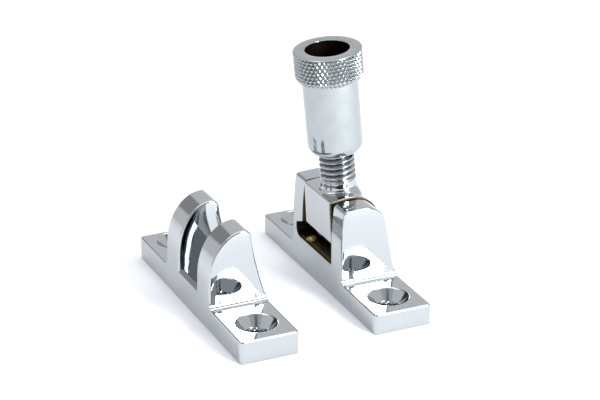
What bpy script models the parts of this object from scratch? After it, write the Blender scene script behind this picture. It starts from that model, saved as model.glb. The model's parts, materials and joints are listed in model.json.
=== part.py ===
"""Screw-down sash fastener in two units: a keep with two ears, and a fastener whose
swivel arm carries a knurled thimble on a threaded stud.

The frame: metres, +Z up. The origin is the middle of the fastener's underside, +Y runs
along the plates and the keep stands towards -X. The arm is modelled upright in its own
frame, with its origin on the pivot's axis, and an empty then leans it to its rest angle.
"""

import math

import bmesh
import bpy
from mathutils import Matrix, Vector

MM = 0.001

# Both plates
PLATE_LENGTH = 58.0 * MM
PLATE_WIDTH = 13.0 * MM
PLATE_CORNER_RADIUS = 0.5 * MM
PLATE_EDGE_RADIUS = 0.3 * MM
SCREW_HOLE_DIAMETER = 5.2 * MM
COUNTERSINK_DIAMETER = 9.3 * MM
COUNTERSINK_DEPTH = 2.3 * MM
NEAR_HOLE_END_DISTANCE = 7.1 * MM
FAR_HOLE_END_DISTANCE = 5.4 * MM
EAR_COVE_RADIUS = 1.2 * MM

# Keep
KEEP_X = -30.3 * MM
KEEP_Y = -0.6 * MM
KEEP_PLATE_THICKNESS = 5.1 * MM
KEEP_EARS_LENGTH = 24.6 * MM
KEEP_EAR_TOP = 21.3 * MM
KEEP_SLOT_WIDTH = 10.2 * MM
KEEP_SLOT_FLOOR = 7.1 * MM
KEEP_SLOT_LIP = 0.85 * MM
KEEP_BACK_INSET = 0.15 * MM
KEEP_CREST_INSET = 4.9 * MM
KEEP_NOSE_WIDTH = 1.65 * MM
KEEP_NOSE_HEIGHT = 1.5 * MM
KEEP_BACK_HEIGHT = 11.3 * MM
KEEP_FLANK_POWER = 1.35

# Fastener body
BODY_PLATE_THICKNESS = 4.6 * MM
BODY_EARS_LENGTH = 25.3 * MM
BODY_EAR_TOP = 21.15 * MM
BODY_EAR_CROWN = 0.15 * MM
BODY_EAR_LEAN = 0.75 * MM
BODY_SHOULDER_RADIUS = 4.85 * MM
BODY_SHOULDER_INSET = 2.4 * MM
BODY_FLANK_ANGLE = math.radians(9.5)
SPRING_POCKET_DEPTH = 3.6 * MM
SPRING_POCKET_HEIGHT = 3.0 * MM
SPRING_POCKET_RADIUS = 1.8 * MM
SPRING_POCKET_STOP = 5.2 * MM

# Swivel arm, in its own frame
PIVOT_HEIGHT = 14.0 * MM
ARM_LEAN = math.radians(4.9)
BLOCK_LENGTH = 13.8 * MM
BLOCK_SIDE_GAP = 0.15 * MM
BLOCK_FOOT_RADIUS = 6.4 * MM
BLOCK_FOOT_START = 194.5
BLOCK_FOOT_END = 333.0
BLOCK_RIGHT = 5.7 * MM
BLOCK_SHOULDER_FOOT = 0.6 * MM
BLOCK_TOP = 7.7 * MM
BLOCK_TOP_DROP = 0.1 * MM
BLOCK_LEFT_TOP = 5.8 * MM
BLOCK_CREST_INSET = 1.6 * MM
BLOCK_FLOOR_GAP = 0.5 * MM
STUD_INSET = 0.5 * MM
NECK_DIAMETER = 7.7 * MM
NECK_FOOT_HEIGHT = 1.1 * MM
NECK_FOOT_DIAMETER = 9.9 * MM
NECK_SHOULDER_REACH = 0.75 * MM
NECK_SHOULDER_DROP = 0.65 * MM
NECK_FOOT_SINK = 0.03 * MM
THREAD_DIAMETER = 7.8 * MM
THREAD_PITCH = 1.25 * MM
THREAD_DEPTH = 0.65 * MM
THREAD_START = 9.4 * MM
STUD_END = 30.2 * MM
STUD_END_HOLE_DEPTH = 7.0 * MM
PIN_DIAMETER = 4.0 * MM
PIN_CLEARANCE = 0.05 * MM
PIN_FAR_INSET = 0.2 * MM
PIN_NEAR_WALL = 2.0 * MM

# Thimble, along the arm's own axis
THIMBLE_BOTTOM = 16.3 * MM
THIMBLE_LENGTH = 23.1 * MM
SLEEVE_DIAMETER = 12.0 * MM
SLEEVE_END_ROUND = 1.65 * MM
SLEEVE_END_HEIGHT = 2.0 * MM
COLLAR_DIAMETER = 14.7 * MM
COLLAR_LENGTH = 6.6 * MM
COLLAR_CHAMFER = 0.25 * MM
COLLAR_FOOT_RADIUS = 1.1 * MM
BORE_DIAMETER = 9.5 * MM
BORE_FLOOR_THICKNESS = 1.0 * MM
SLEEVE_MOUTH_CLEARANCE = 0.25 * MM
BUSH_LENGTH = 5.6 * MM
BUSH_CLEARANCE = 0.05 * MM
THREAD_CLEARANCE = 0.06 * MM

# Stop washer and its screw, on the stud's end
WASHER_CLEARANCE = 0.15 * MM
WASHER_THICKNESS = 1.0 * MM
STOP_SCREW_DIAMETER = 4.0 * MM
STOP_SCREW_HEAD_DIAMETER = 7.0 * MM
STOP_SCREW_HEAD_HEIGHT = 2.2 * MM
STOP_SCREW_SLOT_WIDTH = 1.0 * MM
STOP_SCREW_SLOT_DEPTH = 1.1 * MM
STOP_SCREW_END_GAP = 1.0 * MM
SEAT_GAP = 0.05 * MM

# Leaf spring and its rivet, on the floor of the body's slot
SPRING_THICKNESS = 0.35 * MM
SPRING_SIDE_INSET = 0.5 * MM
SPRING_END_INSET = 0.35 * MM
SPRING_RIGHT_EDGE = 4.6 * MM
RIVET_HEAD_DIAMETER = 2.8 * MM
RIVET_HEAD_HEIGHT = 0.95 * MM
RIVET_SHANK_DIAMETER = 1.6 * MM
RIVET_SHANK_LENGTH = 2.6 * MM
RIVET_CLEARANCE = 0.08 * MM
RIVET_EDGE_DISTANCE = 1.55 * MM
RIVET_SLOT_DISTANCE = 1.6 * MM

# Worked out from the sizes above
HALF_WIDTH = PLATE_WIDTH / 2
NEAR_HOLE_Y = NEAR_HOLE_END_DISTANCE - PLATE_LENGTH / 2
FAR_HOLE_Y = PLATE_LENGTH / 2 - FAR_HOLE_END_DISTANCE
BODY_SLOT_WIDTH = BLOCK_LENGTH + 2 * BLOCK_SIDE_GAP
BODY_SLOT_FLOOR = PIVOT_HEIGHT - BLOCK_FOOT_RADIUS - BLOCK_FLOOR_GAP
THIMBLE_TOP = THIMBLE_BOTTOM + THIMBLE_LENGTH
BORE_FLOOR = THIMBLE_BOTTOM + BORE_FLOOR_THICKNESS
THREAD_HOLE_DIAMETER = THREAD_DIAMETER + 2 * THREAD_CLEARANCE

ROUND_STEPS = 48
SMALL_STEPS = 24
OVERSHOOT = 2.0 * MM
MERGE = 0.00001
SHARP_ANGLE = math.radians(35)


def clear_scene():
    """Takes away every object that the file holds."""
    for obj in list(bpy.data.objects):
        bpy.data.objects.remove(obj, do_unlink=True)


def new_collection(name):
    collection = bpy.data.collections.new(name)
    bpy.context.scene.collection.children.link(collection)
    return collection


def finish_material(name, color, roughness, metallic=1.0):
    material = bpy.data.materials.new(name)
    material.use_nodes = True
    shader = material.node_tree.nodes["Principled BSDF"]
    shader.inputs["Base Color"].default_value = (*color, 1.0)
    shader.inputs["Roughness"].default_value = roughness
    shader.inputs["Metallic"].default_value = metallic
    return material


def mesh_object(name, mesh, collection, material=None):
    """A new object for this mesh, smooth between its sharp edges."""
    obj = bpy.data.objects.new(name, mesh)
    collection.objects.link(obj)
    if material:
        mesh.materials.clear()
        mesh.materials.append(material)
    mesh.shade_smooth()
    mesh.set_sharp_from_angle(angle=SHARP_ANGLE)
    return obj


def bmesh_object(name, bm, collection, material=None):
    bmesh.ops.recalc_face_normals(bm, faces=bm.faces)
    mesh = bpy.data.meshes.new(name)
    bm.to_mesh(mesh)
    bm.free()
    return mesh_object(name, mesh, collection, material)


def as_cutter(obj):
    obj.hide_render = True
    obj.display_type = "WIRE"
    return obj


def box(name, low, high, collection):
    """A box between two opposite corners."""
    low, high = Vector(low), Vector(high)
    bm = bmesh.new()
    bmesh.ops.create_cube(bm, size=1.0)
    bmesh.ops.scale(bm, vec=high - low, verts=bm.verts)
    bmesh.ops.translate(bm, vec=(low + high) / 2, verts=bm.verts)
    return bmesh_object(name, bm, collection)


def cylinder(name, radius, low, high, collection, steps=SMALL_STEPS):
    """A cylinder that stands on Z between two heights."""
    bm = bmesh.new()
    bmesh.ops.create_cone(
        bm,
        cap_ends=True,
        segments=steps,
        radius1=radius,
        radius2=radius,
        depth=high - low,
    )
    bmesh.ops.translate(bm, vec=(0, 0, (low + high) / 2), verts=bm.verts)
    return bmesh_object(name, bm, collection)


def arc(centre, radii, start, end, steps=12):
    """Points of an elliptic arc, from one angle to the other, in degrees."""
    angles = [math.radians(start + (end - start) * i / steps) for i in range(steps + 1)]
    return [
        (centre[0] + radii[0] * math.cos(a), centre[1] + radii[1] * math.sin(a))
        for a in angles
    ]


def extruded(name, outline, length, collection, material=None):
    """A closed XZ outline, extruded along Y to both sides of the XZ plane."""
    curve = bpy.data.curves.new(name, "CURVE")
    curve.dimensions = "2D"
    curve.fill_mode = "BOTH"
    curve.extrude = length / 2
    spline = curve.splines.new("POLY")
    spline.points.add(len(outline) - 1)
    for point, (x, z) in zip(spline.points, outline):
        point.co = (x, z, 0, 1)
    spline.use_cyclic_u = True
    guide = bpy.data.objects.new(name + "_outline", curve)
    collection.objects.link(guide)
    guide.rotation_euler = (math.pi / 2, 0, 0)
    return curve_to_mesh(name, guide, collection, material)


def curve_to_mesh(name, guide, collection, material=None):
    """The curve object as a welded mesh in world space, which takes the curve's place."""
    bpy.context.view_layer.update()
    graph = bpy.context.evaluated_depsgraph_get()
    mesh = bpy.data.meshes.new_from_object(guide.evaluated_get(graph))
    mesh.transform(guide.matrix_world)
    bpy.data.objects.remove(guide, do_unlink=True)
    bm = bmesh.new()
    bm.from_mesh(mesh)
    bmesh.ops.remove_doubles(bm, verts=bm.verts, dist=MERGE)
    bpy.data.meshes.remove(mesh)
    return bmesh_object(name, bm, collection, material)


def turned(name, profile, collection, material=None, steps=ROUND_STEPS):
    """A profile of (radius, height) points, top to bottom, turned about Z."""
    bm = bmesh.new()
    points = [bm.verts.new((radius, 0, height)) for radius, height in profile]
    for start, end in zip(points, points[1:]):
        bm.edges.new((start, end))
    if profile[0][0] > MERGE and profile[-1][0] > MERGE:
        bm.edges.new((points[-1], points[0]))
    mesh = bpy.data.meshes.new(name)
    bm.to_mesh(mesh)
    bm.free()
    obj = mesh_object(name, mesh, collection, material)
    screw = obj.modifiers.new("turn", "SCREW")
    screw.steps = screw.render_steps = steps
    screw.use_merge_vertices = True
    screw.merge_threshold = MERGE
    return obj


def boolean(obj, operation, other):
    """A Boolean modifier, with the other object kept as a hidden helper."""
    modifier = obj.modifiers.new(f"{operation.lower()} {other.name}", "BOOLEAN")
    modifier.operation = operation
    modifier.solver = "EXACT"
    modifier.object = as_cutter(other)
    return obj


def place(obj, location=(0, 0, 0), rotation=(0, 0, 0)):
    obj.location = location
    obj.rotation_euler = rotation
    return obj


def plate(name, thickness, collection, material=None):
    """The bar plate: rounded corners, a fine round along the top edges and a flat foot."""
    blank = box(
        name,
        (-HALF_WIDTH, -PLATE_LENGTH / 2, 0),
        (HALF_WIDTH, PLATE_LENGTH / 2, thickness),
        collection,
    )
    bm = bmesh.new()
    bm.from_mesh(blank.data)
    uprights = [e for e in bm.edges if abs(e.verts[0].co.z - e.verts[1].co.z) > MERGE]
    bmesh.ops.bevel(
        bm, geom=uprights, offset=PLATE_CORNER_RADIUS, segments=5, profile=0.5, affect="EDGES"
    )
    top = [e for e in bm.edges if min(v.co.z for v in e.verts) > thickness - MERGE]
    rim = [e for e in top if any(f.normal.z < 0.5 for f in e.link_faces)]
    bmesh.ops.bevel(
        bm, geom=rim, offset=PLATE_EDGE_RADIUS, segments=2, profile=0.5, affect="EDGES"
    )
    bm.to_mesh(blank.data)
    bm.free()
    blank.data.shade_smooth()
    blank.data.set_sharp_from_angle(angle=SHARP_ANGLE)
    if material:
        blank.data.materials.append(material)
    return blank


def countersink(name, thickness, y, cutters, offset):
    """A screw hole with its countersink, cut from below the plate to above it."""
    hole = SCREW_HOLE_DIAMETER / 2
    rim = COUNTERSINK_DIAMETER / 2
    cone = thickness - COUNTERSINK_DEPTH
    profile = [
        (0, thickness + OVERSHOOT),
        (rim, thickness + OVERSHOOT),
        (rim, thickness - PLATE_EDGE_RADIUS / 3),
        (rim - PLATE_EDGE_RADIUS, thickness - PLATE_EDGE_RADIUS),
        (hole, cone),
        (hole, -OVERSHOOT),
        (0, -OVERSHOOT),
    ]
    cutter = turned(name, profile, cutters, steps=ROUND_STEPS)
    return place(cutter, (offset[0], offset[1] + y, 0))


def cove_cutter(name, thickness, ears_length, side, cutters, offset):
    """The space past an ear, whose lower edge leaves a cove at the ear's foot."""
    near = side * ears_length / 2
    far = side * (PLATE_LENGTH / 2 + OVERSHOOT)
    low, high = min(near, far), max(near, far)
    width = HALF_WIDTH + OVERSHOOT
    cutter = box(name, (-width, low, thickness), (width, high, 2 * KEEP_EAR_TOP), cutters)
    bm = bmesh.new()
    bm.from_mesh(cutter.data)
    edge = [
        e
        for e in bm.edges
        if all(abs(v.co.y - near) < MERGE and abs(v.co.z - thickness) < MERGE for v in e.verts)
    ]
    bmesh.ops.bevel(
        bm, geom=edge, offset=EAR_COVE_RADIUS, segments=5, profile=0.5, affect="EDGES"
    )
    bm.to_mesh(cutter.data)
    bm.free()
    return place(cutter, (offset[0], offset[1], 0))


def keep_ear_outline():
    """The keep's ears from their end: a long curved back, a tight nose, a hollow flank."""
    back = -HALF_WIDTH + KEEP_BACK_INSET
    crest = HALF_WIDTH - KEEP_CREST_INSET
    spring_line = KEEP_EAR_TOP - KEEP_BACK_HEIGHT
    nose_line = KEEP_EAR_TOP - KEEP_NOSE_HEIGHT
    nose = crest + KEEP_NOSE_WIDTH
    flank = []
    for i in range(1, 13):
        share = i / 12
        x = nose + (HALF_WIDTH - nose) * share**KEEP_FLANK_POWER
        flank.append((x, nose_line + (KEEP_PLATE_THICKNESS - nose_line) * share))
    sunk = KEEP_PLATE_THICKNESS / 2
    return (
        [(-HALF_WIDTH, sunk), (-HALF_WIDTH, KEEP_PLATE_THICKNESS)]
        + arc((crest, spring_line), (crest - back, KEEP_BACK_HEIGHT), 180, 90, 16)
        + arc((crest, nose_line), (KEEP_NOSE_WIDTH, KEEP_NOSE_HEIGHT), 90, 0, 6)[1:]
        + flank
        + [(HALF_WIDTH, sunk)]
    )


def body_ear_outline():
    """The body's ears from their end: a straight back, a flat top, one round shoulder."""
    radius = BODY_SHOULDER_RADIUS
    centre = (HALF_WIDTH - BODY_SHOULDER_INSET - radius, BODY_EAR_TOP - radius)
    taper = math.degrees(BODY_FLANK_ANGLE)
    shoulder = arc(centre, (radius, radius), 90, taper, 8)
    end_x, end_z = shoulder[-1]
    foot_z = BODY_PLATE_THICKNESS + EAR_COVE_RADIUS
    foot_x = min(end_x + (end_z - foot_z) * math.tan(BODY_FLANK_ANGLE), HALF_WIDTH)
    sunk = BODY_PLATE_THICKNESS / 2
    return (
        [(-HALF_WIDTH, sunk), (-HALF_WIDTH, BODY_SLOT_FLOOR)]
        + [(-HALF_WIDTH + BODY_EAR_LEAN, BODY_EAR_TOP - BODY_EAR_CROWN)]
        + shoulder
        + [(foot_x, foot_z), (HALF_WIDTH, BODY_PLATE_THICKNESS), (HALF_WIDTH, sunk)]
    )


def eared_plate(name, thickness, outline, ears_length, offset, parts, cutters, material):
    """A bar plate with an extruded pair of ears, its coves and its two screw holes."""
    piece = place(plate(name, thickness, parts, material), (offset[0], offset[1], 0))
    ears = extruded(
        name + "_ears", outline, ears_length + 4 * EAR_COVE_RADIUS, cutters
    )
    place(ears, (offset[0], offset[1], 0))
    for side, where in ((-1, "near"), (1, "far")):
        cove = cove_cutter(f"{name}_{where}_cove", thickness, ears_length, side, cutters, offset)
        boolean(ears, "DIFFERENCE", cove)
    boolean(piece, "UNION", ears)
    for y, where in ((NEAR_HOLE_Y, "near"), (FAR_HOLE_Y, "far")):
        hole = countersink(f"{name}_{where}_screw_hole", thickness, y, cutters, offset)
        boolean(piece, "DIFFERENCE", hole)
    return piece


def build_keep(parts, cutters, material):
    offset = (KEEP_X, KEEP_Y)
    keep = eared_plate(
        "keep",
        KEEP_PLATE_THICKNESS,
        keep_ear_outline(),
        KEEP_EARS_LENGTH,
        offset,
        parts,
        cutters,
        material,
    )
    half = KEEP_SLOT_WIDTH / 2
    reach = HALF_WIDTH + OVERSHOOT
    lip = reach - HALF_WIDTH + KEEP_SLOT_LIP
    slope_end = KEEP_SLOT_FLOOR - lip
    slot_outline = [
        (-reach, slope_end),
        (-reach + lip, KEEP_SLOT_FLOOR),
        (reach - lip, KEEP_SLOT_FLOOR),
        (reach, slope_end),
        (reach, KEEP_EAR_TOP + OVERSHOOT),
        (-reach, KEEP_EAR_TOP + OVERSHOOT),
    ]
    slot = extruded("keep_slot", slot_outline, 2 * half, cutters)
    return boolean(keep, "DIFFERENCE", place(slot, (offset[0], offset[1], 0)))


def build_body(parts, cutters, material):
    body = eared_plate(
        "fastener_body",
        BODY_PLATE_THICKNESS,
        body_ear_outline(),
        BODY_EARS_LENGTH,
        (0, 0),
        parts,
        cutters,
        material,
    )
    reach = HALF_WIDTH + OVERSHOOT
    half = BODY_SLOT_WIDTH / 2
    slot = box(
        "body_slot",
        (-reach, -half, BODY_SLOT_FLOOR),
        (reach, half, BODY_EAR_TOP + OVERSHOOT),
        cutters,
    )
    boolean(body, "DIFFERENCE", slot)
    boolean(body, "DIFFERENCE", spring_pocket(cutters))
    boolean(body, "DIFFERENCE", pin_hole("body_pin_hole", cutters, blind=True))
    shank = cylinder(
        "body_rivet_hole",
        RIVET_SHANK_DIAMETER / 2 + RIVET_CLEARANCE,
        BODY_SLOT_FLOOR - RIVET_SHANK_LENGTH - RIVET_CLEARANCE,
        BODY_SLOT_FLOOR + OVERSHOOT,
        cutters,
    )
    return boolean(body, "DIFFERENCE", place(shank, (*rivet_place(), 0)))


def spring_pocket(cutters):
    """The undercut below the far ear that the spring's tail sits in, open to the back."""
    bm = bmesh.new()
    low = BODY_SLOT_FLOOR
    start = BODY_SLOT_WIDTH / 2 - OVERSHOOT
    end = BODY_SLOT_WIDTH / 2 + SPRING_POCKET_DEPTH
    high = low + SPRING_POCKET_HEIGHT
    radius = SPRING_POCKET_RADIUS
    outline = [(start, low), (start, high + radius)]
    outline += [(end, high), (end, low + radius)]
    outline += arc((end - radius, low + radius), (radius, radius), 0, -90, 6)[1:]
    face = bm.faces.new([bm.verts.new((-HALF_WIDTH - OVERSHOOT, y, z)) for y, z in outline])
    sides = bmesh.ops.extrude_face_region(bm, geom=[face])
    moved = [v for v in sides["geom"] if isinstance(v, bmesh.types.BMVert)]
    depth = HALF_WIDTH + OVERSHOOT + SPRING_POCKET_STOP
    bmesh.ops.translate(bm, vec=(depth, 0, 0), verts=moved)
    return bmesh_object("body_spring_pocket", bm, cutters)


def pin_hole(name, cutters, blind):
    """The pin's hole along the pivot axis: blind in the near ear, open at the far one."""
    near = pin_near_end() - PIN_CLEARANCE if blind else -BODY_EARS_LENGTH
    hole = cylinder(name, PIN_DIAMETER / 2 + PIN_CLEARANCE, near, BODY_EARS_LENGTH, cutters)
    hole.data.transform(Matrix.Rotation(-math.pi / 2, 4, "X"))
    return place(hole, (0, 0, PIVOT_HEIGHT)) if blind else hole


def pin_near_end():
    return -BODY_EARS_LENGTH / 2 + PIN_NEAR_WALL


def rivet_place():
    return -HALF_WIDTH + RIVET_EDGE_DISTANCE, BODY_SLOT_WIDTH / 2 - RIVET_SLOT_DISTANCE


def build_pin(parts, material):
    """The pivot pin, driven in from the far ear's outer face."""
    far = BODY_EARS_LENGTH / 2 - PIN_FAR_INSET
    pin = cylinder("pivot_pin", PIN_DIAMETER / 2, pin_near_end(), far, parts)
    pin.data.transform(Matrix.Rotation(-math.pi / 2, 4, "X"))
    pin.data.materials.append(material)
    return place(pin, (0, 0, PIVOT_HEIGHT))


def build_spring(parts, cutters, material):
    """The leaf spring on the slot's floor, with its tail in the pocket."""
    low = BODY_SLOT_FLOOR + SEAT_GAP
    spring = box(
        "leaf_spring",
        (-HALF_WIDTH + SPRING_SIDE_INSET, -BODY_SLOT_WIDTH / 2 + SPRING_END_INSET, low),
        (
            SPRING_RIGHT_EDGE,
            BODY_SLOT_WIDTH / 2 + SPRING_POCKET_DEPTH - SPRING_POCKET_RADIUS,
            low + SPRING_THICKNESS,
        ),
        parts,
    )
    spring.data.materials.append(material)
    hole = cylinder(
        "spring_rivet_hole", RIVET_SHANK_DIAMETER / 2 + RIVET_CLEARANCE, 0, BODY_EAR_TOP, cutters
    )
    return boolean(spring, "DIFFERENCE", place(hole, (*rivet_place(), 0)))


def build_rivet(parts, material):
    """The spring's rivet: a domed head on the spring and a shank in the body."""
    shank = RIVET_SHANK_DIAMETER / 2
    seat = BODY_SLOT_FLOOR + SPRING_THICKNESS + 2 * SEAT_GAP
    head = arc((0, seat), (RIVET_HEAD_DIAMETER / 2, RIVET_HEAD_HEIGHT), 90, 0, 6)
    foot = BODY_SLOT_FLOOR - RIVET_SHANK_LENGTH
    profile = [(0, head[0][1])] + head[1:] + [(shank, seat), (shank, foot), (0, foot)]
    rivet = turned("spring_rivet", profile, parts, material, SMALL_STEPS)
    return place(rivet, (*rivet_place(), 0))


def block_top(x):
    """The height of the swivel block's top at x: nearly flat, then one long shoulder."""
    past_crest = x + BLOCK_CREST_INSET
    if past_crest > 0:
        reach = BLOCK_RIGHT + BLOCK_CREST_INSET
        rise = math.sqrt(max(0, 1 - (past_crest / reach) ** 2))
        return BLOCK_SHOULDER_FOOT + (BLOCK_TOP - BLOCK_SHOULDER_FOOT) * rise
    share = -past_crest / (BLOCK_LEFT_TOP - BLOCK_CREST_INSET)
    return BLOCK_TOP - BLOCK_TOP_DROP * share**2


def block_outline():
    """The swivel block from its end: a round foot on the pivot, then its top to the left."""
    radius = BLOCK_FOOT_RADIUS
    foot = arc((0, 0), (radius, radius), BLOCK_FOOT_START, BLOCK_FOOT_END, 20)
    reach = (BLOCK_RIGHT + BLOCK_CREST_INSET, BLOCK_TOP - BLOCK_SHOULDER_FOOT)
    shoulder = arc((-BLOCK_CREST_INSET, BLOCK_SHOULDER_FOOT), reach, 0, 90, 16)
    left = [-BLOCK_CREST_INSET + (BLOCK_CREST_INSET - BLOCK_LEFT_TOP) * i / 3 for i in (1, 2, 3)]
    return foot + shoulder + [(x, block_top(x)) for x in left]


def flared_neck(name, collection):
    """The neck with its foot, which is short on the flat top and longer down the shoulder."""
    neck = NECK_DIAMETER / 2
    start = BLOCK_TOP + NECK_FOOT_HEIGHT
    rod_end = THREAD_START + THREAD_PITCH / 2
    core = BLOCK_TOP / 3
    bm = bmesh.new()
    columns = []
    for i in range(ROUND_STEPS):
        angle = 2 * math.pi * i / ROUND_STEPS
        share = max(0, math.cos(angle)) ** 2
        end = NECK_FOOT_DIAMETER / 2 + NECK_SHOULDER_REACH * share
        drop = NECK_SHOULDER_DROP * share
        bend = (neck + 0.6 * drop, BLOCK_TOP - drop)
        foot = (end, block_top(end * math.cos(angle) - STUD_INSET) - NECK_FOOT_SINK)
        profile = [(neck / 2, rod_end), (neck - THREAD_DEPTH / 2, rod_end), (neck, THREAD_START)]
        for step in range(7):
            t = step / 6
            weights = ((1 - t) ** 2, 2 * t * (1 - t), t**2)
            spots = ((neck, start), bend, foot)
            profile.append(tuple(sum(w * p[k] for w, p in zip(weights, spots)) for k in (0, 1)))
        profile.append((neck / 2, core))
        columns.append(
            [bm.verts.new((r * math.cos(angle), r * math.sin(angle), z)) for r, z in profile]
        )
    for left, right in zip(columns, columns[1:] + columns[:1]):
        for i in range(len(left) - 1):
            bm.faces.new((left[i], right[i], right[i + 1], left[i + 1]))
    bmesh.ops.holes_fill(bm, edges=[e for e in bm.edges if e.is_boundary], sides=0)
    return bmesh_object(name, bm, collection)


def threaded_rod(name, low, high, collection, steps=SMALL_STEPS):
    """A rod with a V thread: crest and root lines wind up it, cut square at both ends."""
    crest = THREAD_DIAMETER / 2
    root = crest - THREAD_DEPTH
    rows = 2 * math.ceil((high - low) / THREAD_PITCH) + 4
    bm = bmesh.new()
    grid = []
    for row in range(rows):
        ring = []
        for step in range(steps + 1):
            height = low + THREAD_PITCH * (row / 2 - 1 + step / steps)
            inside = low < height < high
            radius = crest if inside and row % 2 else root
            angle = 2 * math.pi * step / steps
            spot = (radius * math.cos(angle), radius * math.sin(angle))
            ring.append(bm.verts.new((*spot, min(max(height, low), high))))
        grid.append(ring)
    for below, above in zip(grid, grid[1:]):
        for i in range(steps):
            bm.faces.new((below[i], below[i + 1], above[i + 1], above[i]))
    bmesh.ops.remove_doubles(bm, verts=bm.verts, dist=MERGE / 10)
    bmesh.ops.dissolve_degenerate(bm, edges=bm.edges, dist=MERGE / 10)
    bmesh.ops.holes_fill(bm, edges=[e for e in bm.edges if e.is_boundary], sides=0)
    return bmesh_object(name, bm, collection)


def build_arm(parts, cutters, material):
    """The swivel arm in one piece: block, neck and threaded stud."""
    arm = extruded("swivel_arm", block_outline(), BLOCK_LENGTH, parts, material)
    stud = threaded_rod("arm_stud", THREAD_START, STUD_END, cutters)
    for piece in (flared_neck("arm_neck", cutters), stud):
        boolean(arm, "UNION", place(piece, (-STUD_INSET, 0, 0)))
    boolean(arm, "DIFFERENCE", pin_hole("arm_pin_hole", cutters, blind=False))
    end_hole = cylinder(
        "arm_end_hole",
        STOP_SCREW_DIAMETER / 2 + PIN_CLEARANCE,
        STUD_END - STUD_END_HOLE_DEPTH,
        STUD_END + OVERSHOOT,
        cutters,
    )
    return boolean(arm, "DIFFERENCE", place(end_hole, (-STUD_INSET, 0, 0)))


def build_sleeve(parts, material):
    """The thimble's outside: plain sleeve, collar, through bore and a floor for the bush."""
    sleeve = SLEEVE_DIAMETER / 2
    collar = COLLAR_DIAMETER / 2
    bore = BORE_DIAMETER / 2
    mouth = THREAD_HOLE_DIAMETER / 2 + SLEEVE_MOUTH_CLEARANCE
    collar_foot = THIMBLE_TOP - COLLAR_LENGTH
    foot = COLLAR_FOOT_RADIUS
    chamfer = COLLAR_CHAMFER
    profile = [(bore, THIMBLE_TOP), (collar - chamfer, THIMBLE_TOP), (collar, THIMBLE_TOP - chamfer)]
    profile += arc((collar - foot, collar_foot + foot), (foot, foot), 0, -90, 5)
    profile += [(sleeve, collar_foot)]
    end = (SLEEVE_END_ROUND, SLEEVE_END_HEIGHT)
    profile += arc((sleeve - end[0], THIMBLE_BOTTOM + end[1]), end, 0, -90, 8)
    profile += [(mouth, THIMBLE_BOTTOM), (mouth, BORE_FLOOR), (bore, BORE_FLOOR)]
    return turned("thimble_sleeve", profile, parts, material)


def build_bush(parts, material):
    """The threaded bush on the bore's floor."""
    outer = BORE_DIAMETER / 2 - BUSH_CLEARANCE
    inner = THREAD_HOLE_DIAMETER / 2
    low = BORE_FLOOR + SEAT_GAP
    high = low + BUSH_LENGTH
    profile = [(inner, high), (outer, high), (outer, low), (inner, low)]
    return turned("thimble_bush", profile, parts, material)


def build_washer(parts, material):
    """The stop washer on the stud's end, which the bush meets when it is run right out."""
    outer = BORE_DIAMETER / 2 - WASHER_CLEARANCE
    inner = STOP_SCREW_DIAMETER / 2 + PIN_CLEARANCE
    low = STUD_END + SEAT_GAP
    high = low + WASHER_THICKNESS
    profile = [(inner, high), (outer, high), (outer, low), (inner, low)]
    return turned("stop_washer", profile, parts, material)


def build_stop_screw(parts, cutters, material):
    """The slotted cheese-head screw that holds the washer."""
    shank = STOP_SCREW_DIAMETER / 2
    head = STOP_SCREW_HEAD_DIAMETER / 2
    seat = STUD_END + WASHER_THICKNESS + 2 * SEAT_GAP
    top = seat + STOP_SCREW_HEAD_HEIGHT
    foot = STUD_END - STUD_END_HOLE_DEPTH + STOP_SCREW_END_GAP
    profile = [(0, top), (head, top), (head, seat), (shank, seat), (shank, foot), (0, foot)]
    screw = turned("stop_screw", profile, parts, material, SMALL_STEPS)
    slot = box(
        "stop_screw_slot",
        (-head - OVERSHOOT, -STOP_SCREW_SLOT_WIDTH / 2, top - STOP_SCREW_SLOT_DEPTH),
        (head + OVERSHOOT, STOP_SCREW_SLOT_WIDTH / 2, top + OVERSHOOT),
        cutters,
    )
    return boolean(screw, "DIFFERENCE", slot)


def lean_arm(arm, on_stud, cutters, parts):
    """Hangs the arm, what sits on its stud and their cutters on an empty, and leans it."""
    pivot = bpy.data.objects.new("arm_pivot", None)
    parts.objects.link(pivot)
    place(pivot, (0, 0, PIVOT_HEIGHT), (0, -ARM_LEAN, 0))
    slots = [cutter for cutter in cutters.objects if cutter.name.startswith("stop_screw_")]
    for piece in on_stud + slots:
        piece.location = (-STUD_INSET, 0, 0)
    arm_cutters = [cutter for cutter in cutters.objects if cutter.name.startswith("arm_")]
    for piece in [arm] + on_stud + slots + arm_cutters:
        piece.parent = pivot


def main():
    clear_scene()
    parts = new_collection("sash_fastener")
    cutters = new_collection("cutters")
    chrome = finish_material("chrome_plate", (0.80, 0.81, 0.83), 0.06)
    brass = finish_material("bare_brass", (0.55, 0.42, 0.22), 0.35)
    bronze = finish_material("spring_bronze", (0.30, 0.22, 0.13), 0.4)
    steel = finish_material("bright_steel", (0.60, 0.60, 0.60), 0.3)
    build_keep(parts, cutters, chrome)
    build_body(parts, cutters, chrome)
    build_pin(parts, chrome)
    build_spring(parts, cutters, bronze)
    build_rivet(parts, brass)
    arm = build_arm(parts, cutters, chrome)
    on_stud = [
        build_sleeve(parts, chrome),
        build_bush(parts, brass),
        build_washer(parts, steel),
        build_stop_screw(parts, cutters, steel),
    ]
    lean_arm(arm, on_stud, cutters, parts)


main()
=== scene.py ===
"""A screw-down sash fastener and its keep, in chrome plate, on a pale studio floor.

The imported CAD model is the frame. The keep, the fastener's body, its swivel arm and its
thimble are built again here with their polished rounds, cut thread and diamond knurl. The
pivot pin, leaf spring, rivet, bush, stop washer and stop screw keep their CAD shapes.
Sizes in the classes are in millimetres unless they say otherwise.
"""

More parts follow.
